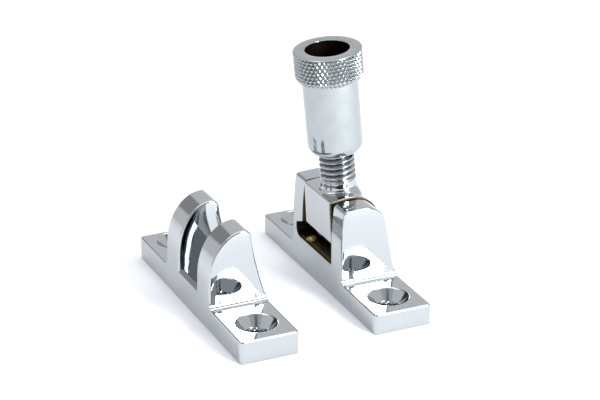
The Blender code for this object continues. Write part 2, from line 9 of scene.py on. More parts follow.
import json
import logging
import math
from dataclasses import dataclass
from enum import Enum
from typing import Any, Callable, Iterable, Optional

import bmesh
import bpy
from mathutils import Matrix, Vector


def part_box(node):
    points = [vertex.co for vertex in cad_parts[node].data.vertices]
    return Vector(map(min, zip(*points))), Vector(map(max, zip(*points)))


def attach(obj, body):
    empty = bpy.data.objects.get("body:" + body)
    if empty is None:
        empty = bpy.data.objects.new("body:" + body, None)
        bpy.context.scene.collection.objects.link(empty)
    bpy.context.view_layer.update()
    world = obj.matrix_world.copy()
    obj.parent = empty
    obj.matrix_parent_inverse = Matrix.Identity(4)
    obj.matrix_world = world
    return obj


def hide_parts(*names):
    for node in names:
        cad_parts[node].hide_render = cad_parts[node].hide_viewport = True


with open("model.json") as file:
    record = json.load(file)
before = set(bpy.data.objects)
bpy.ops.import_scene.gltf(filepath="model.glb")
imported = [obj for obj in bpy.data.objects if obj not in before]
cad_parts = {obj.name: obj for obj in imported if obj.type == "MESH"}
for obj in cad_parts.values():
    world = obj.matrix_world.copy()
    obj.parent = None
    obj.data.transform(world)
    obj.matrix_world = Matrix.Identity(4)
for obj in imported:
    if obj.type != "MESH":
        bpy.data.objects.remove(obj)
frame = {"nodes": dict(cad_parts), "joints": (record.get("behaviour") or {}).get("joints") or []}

Piece = bpy.types.Object
Material = bpy.types.Material
Tree = bpy.types.NodeTree
Node = bpy.types.Node
Socket = bpy.types.NodeSocket
BMesh = bmesh.types.BMesh
Point = tuple[float, float]
Spot = tuple[float, float, float]
Colour = tuple[float, float, float, float]
Outline = list[Point]
Row = Callable[[float], Point]

MM = 0.001
# The depth in the thread's and knurl's grooves, which the chrome finishes darken as painted shade.
GROOVE_LAYER = "groove_depth"
LOG = logging.getLogger("sash_fastener")

# Sizes in millimetres that several pieces share.
ROOT = 1.0  # height inside the plate that ears and slot floors start from
KEEN = 0.02  # rim of edges that stay crisp
BED_OVERLAP = 0.5  # how far a slot's floor runs into both ears
OVERSHOOT = 3.0  # how far a cutter runs past what it cuts
AXIS = 0.0005  # radius that closes a turned piece on its axis
MERGE = 0.0005  # points nearer than this become one
CROWN_BLEND = 3.0  # height over which an ear's crown comes in above its foot

# Points round a turned ring and round the pin's hole.
ROUND_STEPS = 96
BORE_STEPS = 48

# A wave texture's band width at a scale of one, and the setting that mixes colours.
WAVE_BAND = 0.314
RGBA_MIX = {"data_type": "RGBA"}


class Side(Enum):
    """Which end of a plate something is at: near the viewer or far from them."""

    NEAR = -1
    FAR = 1


class Along(Enum):
    """The axis that an outline is extruded along."""

    X = "x"
    Y = "y"


# Colour and node helpers


def linear(hex_colour: str) -> Colour:
    """Turns an sRGB hex colour into linear values.

    Args:
        hex_colour: A colour such as "#C3C5C8".

    Returns:
        Linear red, green, blue and an alpha of 1.
    """
    channels = [int(hex_colour[i : i + 2], 16) / 255 for i in (1, 3, 5)]
    red, green, blue = (
        c / 12.92 if c <= 0.04045 else ((c + 0.055) / 1.055) ** 2.4 for c in channels
    )
    return red, green, blue, 1.0


def add_node(
    tree: Tree,
    kind: str,
    settings: Optional[dict[str, Any]] = None,
    values: Optional[dict[Any, Any]] = None,
    links: Optional[dict[Any, Socket]] = None,
) -> Node:
    """Adds one node with its settings, socket values and incoming links.

    Args:
        tree: The node tree that it goes in.
        kind: The node's type name.
        settings: Properties of the node.
        values: Default values by input socket.
        links: Output sockets that feed its inputs, by input socket.

    Returns:
        The new node.
    """
    node = tree.nodes.new(kind)
    for key, value in (settings or {}).items():
        setattr(node, key, value)
    for key, value in (values or {}).items():
        node.inputs[key].default_value = value
    for key, socket in (links or {}).items():
        tree.links.new(socket, node.inputs[key])
    return node


def blank_material(name: str, metallic: float = 1.0) -> tuple[Material, Node, Socket]:
    """Makes a material with a Principled shader and the object's own coordinates.

    Args:
        name: The material's name.
        metallic: 1 for a metal and 0 for anything else.

    Returns:
        The material, its shader node and the coordinates' socket.
    """
    material = bpy.data.materials.new(name)
    material.use_nodes = True
    tree = material.node_tree
    tree.nodes.clear()
    shader = add_node(tree, "ShaderNodeBsdfPrincipled", values={"Metallic": metallic})
    add_node(tree, "ShaderNodeOutputMaterial", links={"Surface": shader.outputs["BSDF"]})
    return material, shader, add_node(tree, "ShaderNodeTexCoord").outputs["Object"]


def mottled(
    tree: Tree,
    where: Socket,
    width: float,
    detail: float,
    colours: tuple[str, str],
) -> tuple[Node, Socket]:
    """Lays soft spots over a surface, between two colours.

    Args:
        tree: The node tree that the pattern goes in.
        where: The surface's coordinates.
        width: The spots' width in millimetres.
        detail: How many finer layers the spots have.
        colours: The colours between and on the spots, as sRGB hex.

    Returns:
        The spots' node and the mixed colour's socket.
    """
    spots = add_node(
        tree, "ShaderNodeTexNoise", values={"Scale": 1 / (width * MM), "Detail": detail},
        links={"Vector": where},
    )
    tone = add_node(
        tree, "ShaderNodeMix", settings=RGBA_MIX,
        values={6: linear(colours[0]), 7: linear(colours[1])}, links={0: spots.outputs["Fac"]},
    )
    return spots, tone.outputs[2]


# Finishes


@dataclass(frozen=True)
class PolishedChrome:
    """Chromium plate over cast brass that was buffed by hand to a mirror.

    The eye sees sharp reflections that bend a little where the buff rounded the casting.
    """

    name: str = "chrome_plate_buffed"
    colour: str = "#B6BABC"
    painted_groove_shade: str = "#4A4E51"
    roughness_low: float = 0.03
    roughness_high: float = 0.07
    wave_width: float = 6.0
    wave_depth: float = 0.012
    haze_width: float = 2.2

    def material(self) -> Material:
        """Builds the plate's material: mirror metal, faint haze and buffing waves."""
        material, shader, where = blank_material(self.name)
        tree = material.node_tree
        # Painted shade: the colour darkens towards the bottom of the thread, by how deep each point
        # lies in it.
        groove = add_node(tree, "ShaderNodeAttribute", settings={"attribute_name": GROOVE_LAYER})
        tint = add_node(
            tree, "ShaderNodeMix", settings=RGBA_MIX,
            values={6: linear(self.colour), 7: linear(self.painted_groove_shade)},
            links={0: groove.outputs["Fac"]},
        )
        tree.links.new(tint.outputs[2], shader.inputs["Base Color"])
        # Haze patches a few millimetres wide, where the polish is a little less bright.
        haze = add_node(
            tree, "ShaderNodeTexNoise", values={"Scale": 1 / (self.haze_width * MM), "Detail": 3.0},
            links={"Vector": where},
        )
        spread = add_node(
            tree, "ShaderNodeMapRange",
            values={
                "From Min": 0.3,
                "From Max": 0.7,
                "To Min": self.roughness_low,
                "To Max": self.roughness_high,
            },
            links={"Value": haze.outputs["Fac"]},
        )
        tree.links.new(spread.outputs["Result"], shader.inputs["Roughness"])
        # Buffing waves: 6 mm wide and 12 micrometres deep.
        waves = add_node(
            tree, "ShaderNodeTexNoise",
            values={"Scale": 1 / (self.wave_width * MM), "Detail": 1.0, "Roughness": 0.3},
            links={"Vector": where},
        )
        bump = add_node(
            tree, "ShaderNodeBump", values={"Strength": 1.0, "Distance": self.wave_depth * MM},
            links={"Height": waves.outputs["Fac"]},
        )
        tree.links.new(bump.outputs["Normal"], shader.inputs["Normal"])
        return material


@dataclass(frozen=True)
class TurnedChrome:
    """Chromium plate over turned and knurled brass.

    The plate keeps the lathe's faint rings and a cloudy polish, and painted shade darkens the
    bottom of the knurl.
    """

    name: str = "chrome_plate_turned"
    colour: str = "#B2B7B8"
    cloud_colour: str = "#9CA2A3"
    painted_groove_shade: str = "#2B2D2F"
    roughness: float = 0.05
    cloud_width: float = 3.0
    ring_pitch: float = 0.25
    ring_depth: float = 0.0006

    def material(self) -> Material:
        """Builds the thimble's material: satin-bright metal with lathe rings."""
        material, shader, where = blank_material(self.name)
        tree = material.node_tree
        shader.inputs["Roughness"].default_value = self.roughness
        # Clouds three millimetres wide, where the polish is less bright.
        colours = (self.cloud_colour, self.colour)
        _, polish = mottled(tree, where, self.cloud_width, 4.0, colours)
        # Painted shade: the colour darkens towards the bottom of the knurl's grooves.
        groove = add_node(tree, "ShaderNodeAttribute", settings={"attribute_name": GROOVE_LAYER})
        tint = add_node(
            tree, "ShaderNodeMix", settings=RGBA_MIX, values={7: linear(self.painted_groove_shade)},
            links={0: groove.outputs["Fac"], 6: polish},
        )
        tree.links.new(tint.outputs[2], shader.inputs["Base Color"])
        # Lathe rings a quarter of a millimetre apart, in height along the stud.
        rings = add_node(
            tree, "ShaderNodeTexWave", settings={"bands_direction": "Z"},
            values={"Scale": WAVE_BAND / (self.ring_pitch * MM), "Distortion": 0.2},
            links={"Vector": where},
        )
        bump = add_node(
            tree, "ShaderNodeBump", values={"Strength": 1.0, "Distance": self.ring_depth * MM},
            links={"Height": rings.outputs["Fac"]},
        )
        tree.links.new(bump.outputs["Normal"], shader.inputs["Normal"])
        return material


@dataclass(frozen=True)
class PlainMetal:
    """An unplated metal with a mottled tone: brass, spring bronze or bright steel.

    Colour drifts between fresh and tarnished metal in spots under a millimetre wide.
    """

    name: str
    colour: str
    tarnish: str
    roughness: float
    spot_width: float = 0.8

    def material(self) -> Material:
        """Builds the metal with its tarnish spots and a fine grain."""
        material, shader, where = blank_material(self.name)
        tree = material.node_tree
        spots, tone = mottled(tree, where, self.spot_width, 4.0, (self.tarnish, self.colour))
        tree.links.new(tone, shader.inputs["Base Color"])
        haze = add_node(
            tree, "ShaderNodeMapRange",
            values={"To Min": self.roughness * 0.7, "To Max": self.roughness * 1.3},
            links={"Value": spots.outputs["Fac"]},
        )
        tree.links.new(haze.outputs["Result"], shader.inputs["Roughness"])
        return material


BRASS = PlainMetal("bare_brass_cast", "#B0925E", "#6E5838", 0.32)
BRONZE = PlainMetal("spring_bronze_rolled", "#6A5740", "#33291F", 0.38)
STEEL = PlainMetal("oiled_steel_turned", "#4A4843", "#26241F", 0.35)
TARNISH = PlainMetal("tarnished_brass_drilled", "#2B2116", "#080705", 0.55, 0.5)
# Unplated brass in the slot and on the block's sides; its dark tone is partly painted shade for the
# narrow gaps between block and ears.
SHADED_BARE_BRASS = PlainMetal("bare_brass_with_gap_shade", "#5A4A30", "#2A2115", 0.45, 0.6)


# Mesh helpers


def arc(centre: Point, radii: Point, start: float, end: float, steps: int = 16) -> Outline:
    """Points of an elliptic arc.

    Args:
        centre: The ellipse's centre.
        radii: Its two radii.
        start: First angle in degrees.
        end: Last angle in degrees.
        steps: Number of pieces that the arc is cut into.

    Returns:
        The points, first and last included.
    """
    angles = [math.radians(start + (end - start) * i / steps) for i in range(steps + 1)]
    return [
        (centre[0] + radii[0] * math.cos(a), centre[1] + radii[1] * math.sin(a)) for a in angles
    ]


def anticlockwise(outline: Outline) -> Outline:
    """The outline in anticlockwise order."""
    area = sum(a[0] * b[1] - b[0] * a[1] for a, b in zip(outline, outline[1:] + outline[:1]))
    return outline if area > 0 else outline[::-1]


def softened(outline: Outline, radius: float, steps: int = 4, limit: float = 25.0) -> Outline:
    """Rounds each corner of a closed outline that turns by more than a limit.

    Args:
        outline: The closed outline.
        radius: The length that each corner gives up on either side.
        steps: Pieces in each corner's curve.
        limit: The smallest turn, in degrees, that counts as a corner.

    Returns:
        The outline with its corners rounded.
    """
    points = [Vector(p) for p in anticlockwise(outline)]
    made: Outline = []
    for before, here, after in zip(points[-1:] + points[:-1], points, points[1:] + points[:1]):
        inward, outward = here - before, after - here
        if abs(math.degrees(inward.angle_signed(outward))) < limit:
            made.append(tuple(here))
            continue
        share = min(radius, 0.45 * inward.length, 0.45 * outward.length)
        start = here - inward.normalized() * share
        end = here + outward.normalized() * share
        for i in range(steps + 1):
            t = i / steps
            made.append(tuple(start * (1 - t) ** 2 + here * 2 * t * (1 - t) + end * t**2))
    return made


def inset(outline: Outline, distance: float) -> Outline:
    """Moves a closed anticlockwise outline inwards by a distance.

    Args:
        outline: The closed outline.
        distance: How far each side moves.

    Returns:
        The smaller outline, point for point.
    """
    points = [Vector(p) for p in outline]
    made: Outline = []
    for before, here, after in zip(points[-1:] + points[:-1], points, points[1:] + points[:1]):
        first, second = (here - before).normalized(), (after - here).normalized()
        normal = Vector((-first.y - second.y, first.x + second.x))
        if normal.length < 1e-9:
            normal = Vector((-first.y, first.x))
        normal.normalize()
        stretch = max(0.5, normal.dot(Vector((-first.y, first.x))))
        made.append(tuple(here + normal * (distance / stretch)))
    return made


def lofted(loops: list[list[Spot]], closed: bool = False) -> BMesh:
    """Skins a row of loops that all have the same number of points.

    Args:
        loops: The loops in order.
        closed: Whether the last loop joins the first, as in a tube. If not, both ends
            are capped.

    Returns:
        A closed bmesh in millimetres.
    """
    bm = bmesh.new()
    rings = [[bm.verts.new(spot) for spot in loop] for loop in loops]
    pairs = list(zip(rings, rings[1:]))
    if closed:
        pairs.append((rings[-1], rings[0]))
    for lower, upper in pairs:
        for i in range(len(lower)):
            j = (i + 1) % len(lower)
            bm.faces.new((lower[i], lower[j], upper[j], upper[i]))
    if not closed:
        bm.faces.new(rings[0])
        bm.faces.new(rings[-1])
    bmesh.ops.recalc_face_normals(bm, faces=bm.faces)
    return bm


def rounded_prism(
    outline: Outline,
    low: float,
    high: float,
    rim: float,
    along: Along,
    steps: int = 4,
    crown: float = 0.0,
    crown_foot: float = 0.0,
) -> BMesh:
    """A closed outline extruded between two places, with both rims rounded.

    Buffing leaves the end faces a little domed, so each falls away towards its rim.

    Args:
        outline: The outline, in YZ along X or in XZ along Y.
        low: Where the prism starts on its axis.
        high: Where it ends.
        rim: Radius of the round along both end faces.
        along: The axis.
        steps: Pieces in each rim's round.
        crown: How far the end faces' edges lie behind their middles.
        crown_foot: The height below which the end faces stay flat.

    Returns:
        A closed bmesh in millimetres.
    """
    outline = anticlockwise(outline)
    rings: list[tuple[Outline, float, float]] = []
    if crown:
        flat = inset(outline, rim)
        middle = Vector([(min(p[k] for p in flat) + max(p[k] for p in flat)) / 2 for k in (0, 1)])
        for i in range(7):
            size = 0.55 + 0.45 * i / 7
            ring = [tuple(middle + (Vector(p) - middle) * size) for p in flat]
            rings.append((ring, low, crown * (i / 7) ** 3))
    for i in range(steps + 1):
        turn = math.pi / 2 * i / steps
        depth = rim * (1 - math.sin(turn))
        rings.append((inset(outline, depth), low + rim * (1 - math.cos(turn)), crown))
    loops: list[list[Spot]] = []
    for ring, place, fall in rings + rings[::-1]:
        far = len(loops) >= len(rings)
        loop = []
        for a, b in ring:
            share = min(1.0, max(0.0, (b - crown_foot) / CROWN_BLEND))
            reach = place + fall * share**2 * (3 - 2 * share)
            reach = low + high - reach if far else reach
            loop.append((a, reach, b) if along is Along.Y else (reach, a, b))
        loops.append(loop)
    return lofted(loops)


def turned_grid(rows: Iterable[Row], steps: int, closed: bool) -> BMesh:
    """Rings about Z, each given by a radius and height that may change with the angle.

    Args:
        rows: One function for each ring, from angle to (radius, height).
        steps: Points in each ring.
        closed: Whether the last ring joins the first, as in a tube. If not, both ends
            are capped.

    Returns:
        A closed bmesh in millimetres.
    """
    angles = [2 * math.pi * i / steps for i in range(steps)]
    loops = []
    for row in rows:
        ring = [(angle, *row(angle)) for angle in angles]
        loops.append([(r * math.cos(angle), r * math.sin(angle), z) for angle, r, z in ring])
    return lofted(loops, closed)


def fixed_ring(radius: float, height: float) -> Row:
    """A ring with one radius and height all round."""
    return lambda angle: (radius, height)


def fixed_rings(points: Outline) -> list[Row]:
    """Rings that each have one radius and height all round."""
    return [fixed_ring(radius, height) for radius, height in points]


def as_object(name: str, bm: BMesh) -> Piece:
    """Puts a bmesh in a new object in the scene and frees it."""
    mesh = bpy.data.meshes.new(name)
    bm.to_mesh(mesh)
    bm.free()
    obj = bpy.data.objects.new(name, mesh)
    bpy.context.scene.collection.objects.link(obj)
    return obj


def pin_cutter(diameter: float, low: float, high: float, height: float = 0.0) -> Piece:
    """Builds the cutter for the pivot pin's hole, along Y.

    Args:
        diameter: The hole's diameter.
        low: Where it starts.
        high: Where it ends.
        height: How far its axis lies above the origin.

    Returns:
        The cutter.
    """
    rows = fixed_rings([(diameter / 2, low), (diameter / 2, high)])
    bm = turned_grid(rows, BORE_STEPS, False)
    turn = Matrix.Translation((0, 0, height)) @ Matrix.Rotation(-math.pi / 2, 4, "X")
    bmesh.ops.transform(bm, matrix=turn, verts=bm.verts)
    return as_object("pin_hole", bm)


def slot_bed(outline: Outline, inner: float) -> Piece:
    """Builds the floor of a slot whose ears' inner faces are this far from its middle."""
    reach = inner + BED_OVERLAP
    return as_object("slot_bed", rounded_prism(outline, -reach, reach, KEEN, Along.Y))


def plate_place(box: tuple[Vector, Vector]) -> Matrix:
    """The middle of a unit's underside, from the box of its CAD node."""
    low, high = box
    return Matrix.Translation(((low.x + high.x) / 2, (low.y + high.y) / 2, low.z))


def combined(
    base: Piece, operation: str, others: list[Piece]
) -> Piece:
    """Joins or cuts solids into a base and takes the others away.

    Args:
        base: The solid that is changed.
        operation: "UNION" or "DIFFERENCE".
        others: The solids that are joined or cut.

    Returns:
        The base with its new mesh.
    """
    for other in others:
        modifier = base.modifiers.new(other.name, "BOOLEAN")
        modifier.operation = operation
        modifier.solver = "EXACT"
        modifier.object = other
    graph = bpy.context.evaluated_depsgraph_get()
    mesh = bpy.data.meshes.new_from_object(base.evaluated_get(graph))
    base.modifiers.clear()
    base.data = mesh
    for other in others:
        bpy.data.objects.remove(other, do_unlink=True)
    return base


def finished(
    obj: Piece, place: Matrix, material: Material, sharp: float = 32.0
) -> Piece:
    """Cleans a mesh, puts it in metres in its place and gives it flat-true shading.

    Args:
        obj: The object, in millimetres in its own frame.
        place: Where it goes, in metres.
        material: Its finish.
        sharp: Edges that turn by more than this many degrees stay sharp.

    Returns:
        The same object.
    """
    bm = bmesh.new()
    bm.from_mesh(obj.data)
    bmesh.ops.remove_doubles(bm, verts=bm.verts, dist=MERGE)
    bmesh.ops.dissolve_degenerate(bm, edges=bm.edges, dist=MERGE)
    bmesh.ops.recalc_face_normals(bm, faces=bm.faces)
    bm.to_mesh(obj.data)
    bm.free()
    obj.data.transform(place @ Matrix.Scale(MM, 4))
    obj.data.materials.clear()
    obj.data.materials.append(material)
    obj.data.shade_smooth()
    obj.data.set_sharp_from_angle(angle=math.radians(sharp))
    weighted = obj.modifiers.new("flat-true normals", "WEIGHTED_NORMAL")
    weighted.keep_sharp = True
    weighted.weight = 50
    return obj


def mark_grooves(
    obj: Piece, place: Matrix, depth: Callable[[Vector], float]
) -> None:
    """Stores at each point how deep it lies in a groove, from 0 to 1.

    Args:
        obj: The piece.
        place: The piece's place, which leads back to its own frame.
        depth: Gives the depth from a point in the piece's own frame, in millimetres.
    """
    back = place.inverted()
    layer = obj.data.attributes.new(GROOVE_LAYER, "FLOAT", "POINT")
    for vert, value in zip(obj.data.vertices, layer.data):
        value.value = min(1.0, max(0.0, depth((back @ vert.co) / MM)))


def second_finish(
    obj: Piece,
    material: Material,
    place: Matrix,
    wanted: Callable[[Vector, Vector], bool],
) -> None:
    """Gives some of a finished piece's faces another finish.

    Args:
        obj: The piece.
        material: The other finish.
        place: The piece's place, which leads back to its own frame.
        wanted: Says from a face's middle and normal, in the piece's own frame and in
            millimetres, whether the face gets it.
    """
    obj.data.materials.append(material)
    slot = len(obj.data.materials) - 1
    back = place.inverted()
    turn = back.to_3x3()
    for face in obj.data.polygons:
        if wanted((back @ face.center) / MM, turn @ face.normal):
            face.material_index = slot


# The object's sub-assemblies


@dataclass
class ScrewPlate:
    """The bar plate that both units stand on, with its two countersunk holes."""

    thickness: float
    length: float = 58.0
    width: float = 13.0
    corner: float = 0.95
    edge: float = 0.42
    foot_edge: float = 0.12
    hole: float = 5.2
    countersink: float = 9.3
    countersink_depth: float = 2.3
    lip: float = 0.55
    near_hole_inset: float = 7.1
    far_hole_inset: float = 5.4
    cove_sink: float = 0.02
    ear_foot: float = 1.3

    def solid(self, name: str) -> Piece:
        """Builds the plate's rounded slab, with a fine round below its top edges."""
        half, end = self.width / 2, self.length / 2
        corners = [(-half, -end), (half, -end), (half, end), (-half, end)]
        plan = softened(corners, self.corner, 5)
        rings = [(inset(plan, self.foot_edge), 0.0), (plan, self.foot_edge)]
        for i in range(5):
            turn = math.pi / 2 * i / 4
            drop = self.edge * (1 - math.sin(turn))
            rings.append((inset(plan, self.edge * (1 - math.cos(turn))), self.thickness - drop))
        return as_object(name, lofted([[(x, y, z) for x, y in ring] for ring, z in rings]))

    def screw_hole(self, side: Side) -> Piece:
        """Builds the cutter for one screw hole, whose countersink has a soft lip.

        Args:
            side: The plate's end that the hole is at.

        Returns:
            The cutter.
        """
        end_inset = self.near_hole_inset if side is Side.NEAR else self.far_hole_inset
        y = side.value * (self.length / 2 - end_inset)
        hole, rim, top = self.hole / 2, self.countersink / 2, self.thickness
        throat = top - self.countersink_depth
        rows = [(AXIS, top + OVERSHOOT), (rim + 0.001, top + OVERSHOOT)]
        rows += [
            (rim - self.lip * math.sin(t), top - self.lip * (1 - math.cos(t)) + 0.001)
            for t in (0.0, 0.18, 0.36, 0.54, 0.72, 0.92)
        ]
        rows += [(hole + 0.05, throat), (hole, throat - 0.1)]
        rows += [(hole, -OVERSHOOT), (AXIS, -OVERSHOOT)]
        bm = turned_grid(fixed_rings(rows), ROUND_STEPS, False)
        bmesh.ops.translate(bm, vec=(0, y, 0), verts=bm.verts)
        return as_object("screw_hole", bm)

    def cove(self, y: float, side: Side, right: float, radius: float = 1.2) -> Piece:
        """Builds the hollow round at an ear's foot.

        Args:
            y: The ear's outer face.
            side: The plate's end that the cove faces.
            right: How far the cove reaches towards the right flank.
            radius: The hollow's radius.

        Returns:
            The cove's solid.
        """
        top = self.thickness
        sunk = radius - self.cove_sink
        centre = (y + side.value * sunk, top + sunk)
        start = (180, 270) if side is Side.FAR else (0, -90)
        hollow = arc(centre, (radius, radius), *start, 10)
        back = y - side.value * 0.6
        outline = hollow + [(centre[0], top - 0.5), (back, top - 0.5), (back, centre[1])]
        bm = rounded_prism(outline, -self.width / 2, right, 0.1, Along.X, 3)
        return as_object("cove", bm)


@dataclass
class Keep:
    """The keep: a plate with two ears and the slot that the stud drops into."""

    plate: ScrewPlate
    ears_length: float = 24.6
    slot_width: float = 10.2
    slot_floor: float = 7.1
    slot_lip: float = 0.85
    ear_top: float = 21.3
    back_inset: float = 0.15
    crest_inset: float = 4.9
    nose: Point = (1.65, 1.5)
    back_height: float = 11.3
    flank_power: float = 1.35
    rim: float = 0.38
    crown: float = 0.16

    def ear_outline(self) -> Outline:
        """The ear from its end: a long curved back, a tight nose and a hollow flank."""
        half, base = self.plate.width / 2, self.plate.thickness
        back, crest = -half + self.back_inset, half - self.crest_inset
        spring_line, nose_line = self.ear_top - self.back_height, self.ear_top - self.nose[1]
        nose = crest + self.nose[0]
        flank = []
        for i in range(1, 29):
            share = i / 28
            x = nose + (half - nose) * share**self.flank_power
            flank.append((x, nose_line + (base - nose_line) * share))
        outline = [(-half, ROOT), (-half, base)]
        outline += arc((crest, spring_line), (crest - back, self.back_height), 180, 90, 40)
        outline += arc((crest, nose_line), self.nose, 90, 0, 10)[1:]
        return outline + flank + [(half, ROOT)]

    def solid(self) -> Piece:
        """Joins plate, ears, coves and slot floor, then cuts the screw holes."""
        outer, inner = self.ears_length / 2, self.slot_width / 2
        base, outline = self.plate.solid("sash_keep"), self.ear_outline()
        parts = []
        for side in Side:
            low, high = sorted((side.value * outer, side.value * inner))
            foot = self.plate.thickness + self.plate.ear_foot
            ear = rounded_prism(
                outline, low, high, self.rim, Along.Y, crown=self.crown, crown_foot=foot
            )
            parts.append(as_object("ear", ear))
            parts.append(self.plate.cove(side.value * outer, side, self.plate.width / 2 - 0.05))
        half, floor, lip = self.plate.width / 2, self.slot_floor, self.slot_lip
        bed_outline = [(-half, ROOT), (-half, floor - lip), (-half + lip, floor)]
        bed_outline += [(half - lip, floor), (half, floor - lip), (half, ROOT)]
        parts.append(slot_bed(softened(bed_outline, 0.12, 3), inner))
        combined(base, "UNION", parts)
        return combined(base, "DIFFERENCE", [self.plate.screw_hole(side) for side in Side])

    def build(self, chrome: Material) -> Piece:
        """Builds the keep in its place and hangs it on its CAD body.

        Args:
            chrome: The plate's finish.

        Returns:
            The keep.
        """
        place = plate_place(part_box("keep"))
        keep = finished(self.solid(), place, chrome)
        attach(keep, "base")
        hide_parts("keep")
        return keep


@dataclass
class FastenerBody:
    """The fastener's body: a plate with two ears that carry the pivot pin."""

    plate: ScrewPlate
    ears_length: float = 25.3
    slot_width: float = 14.1
    slot_floor: float = 7.1
    ear_top: float = 21.15
    ear_crown: float = 0.15
    ear_lean: float = 0.75
    shoulder_radius: float = 4.85
    shoulder_inset: float = 2.4
    flank_angle: float = 9.5
    pivot_height: float = 14.0
    pin_diameter: float = 4.1
    pin_wall: float = 1.95
    pin_reach: float = 14.0
    pocket_depth: float = 3.6
    pocket_height: float = 3.0
    pocket_radius: float = 1.8
    pocket_stop: float = 5.2
    rim: float = 0.35
    corner: float = 0.95
    crown: float = 0.14
    notch_rim: float = 0.34

    def ear_outline(self) -> Outline:
        """The ear from its end: a back that curves in, a flat top and one round shoulder."""
        half, radius = self.plate.width / 2, self.shoulder_radius
        centre = (half - self.shoulder_inset - radius, self.ear_top - radius)
        shoulder = arc(centre, (radius, radius), 90, self.flank_angle, 24)
        end_x, end_z = shoulder[-1]
        foot_z = self.plate.thickness + 1.2
        foot_x = min(end_x + (end_z - foot_z) * math.tan(math.radians(self.flank_angle)), half)
        rise = self.ear_top - self.ear_crown - self.slot_floor
        outline = [(-half, ROOT), (-half, self.slot_floor)]
        outline += [
            (-half + self.ear_lean * (i / 6) ** 2.6, self.slot_floor + rise * i / 6)
            for i in range(1, 7)
        ]
        outline += shoulder + [(foot_x, foot_z), (half, self.plate.thickness), (half, ROOT)]
        return outline

    def solid(self) -> Piece:
        """Joins plate, ears, coves and slot floor, then cuts pin hole, pocket and holes."""
        outer, inner = self.ears_length / 2, self.slot_width / 2
        half = self.plate.width / 2
        base = self.plate.solid("fastener_body_polished")
        outline = softened(self.ear_outline(), self.corner, 6, 40)
        parts = []
        for side in Side:
            low, high = sorted((side.value * outer, side.value * inner))
            foot = self.plate.thickness + self.plate.ear_foot
            ear = rounded_prism(
                outline, low, high, self.rim, Along.Y, crown=self.crown, crown_foot=foot
            )
            parts.append(as_object("ear", ear))
            parts.append(self.plate.cove(side.value * outer, side, half - 0.25))
        floor = self.slot_floor
        bed_outline = [(-half, ROOT), (-half, floor), (half, floor), (half, ROOT)]
        parts.append(slot_bed(bed_outline, inner))
        combined(base, "UNION", parts)
        cuts = [self.plate.screw_hole(side) for side in Side] + [self.pocket(), self.pin_hole()]
        return combined(base, "DIFFERENCE", cuts)

    def pocket(self) -> Piece:
        """Builds the cutter for the undercut below the far ear, open to the left."""
        low, start = self.slot_floor, self.slot_width / 2 - 0.8
        end, high = self.slot_width / 2 + self.pocket_depth, self.slot_floor + self.pocket_height
        radius = self.pocket_radius
        outline = [(start, low), (start, high + radius), (end, high)]
        outline += arc((end - radius, low + radius), (radius, radius), 0, -90, 10)
        low_x = -self.plate.width / 2 - 2
        return as_object(
            "pocket", rounded_prism(outline, low_x, self.pocket_stop, KEEN, Along.X, 1)
        )

    def pin_hole(self) -> Piece:
        """Builds the cutter for the pivot pin's hole, blind in the near ear."""
        start = -self.ears_length / 2 + self.pin_wall
        return pin_cutter(self.pin_diameter, start, self.pin_reach, self.pivot_height)

    def notch_edge(self) -> Piece:
        """Builds the thin rim of bare brass along the notch, where the plate is filed off."""
        half, inner = self.plate.width / 2, self.slot_width / 2
        rim, floor = self.notch_rim, self.slot_floor
        outline = [(-half - 0.012, floor - rim), (-half + rim, floor + 0.012)]
        outline += [(-half + rim, floor - 0.4), (-half + 0.02, floor - rim - 0.06)]
        end = inner + self.pocket_depth - 1.2
        bm = rounded_prism(outline, -inner + 0.05, end, 0.01, Along.Y, 1)
        return as_object("notch_edge_brass", bm)

    def in_slot(self, spot: Vector, normal: Vector) -> bool:
        """Whether a face lies in the slot or the pocket, where the metal is bare and darkened as
        painted shade.
        """
        inner, height = self.slot_width / 2, spot.z - self.slot_floor
        if height <= -0.06:
            return False
        side = inner - 0.1 < abs(spot.y) < inner + self.crown + self.rim * 0.9
        floor = abs(height) < 0.05 and abs(spot.y) < inner
        within = abs(spot.x) < self.plate.width / 2 - 0.4 and spot.x < self.pocket_stop + 0.1
        undercut = inner - 0.1 < spot.y < inner + self.pocket_depth + 0.1
        undercut = undercut and -0.05 < height < 4.9 and normal.x < 0.3
        return (side and height > 0.2) or floor or (undercut and within)

    def build(
        self, chrome: Material, brass: Material, bare: Material
    ) -> list[Piece]:
        """Builds the body and its brass notch edge and hangs them on their CAD body.

        Args:
            chrome: The plate's finish.
            brass: The notch edge's finish.
            bare: The finish inside the slot, which isn't plated, darkened further as painted shade
                in the gaps.

        Returns:
            The body and the notch edge.
        """
        place = plate_place(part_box("fastener_body"))
        body = finished(self.solid(), place, chrome)
        second_finish(body, bare, place, self.in_slot)
        edge = finished(self.notch_edge(), place, brass)
        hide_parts("fastener_body")
        for piece, slot in ((body, "polished_chrome"), (edge, "bare_brass")):
            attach(piece, "base")
        return [body, edge]


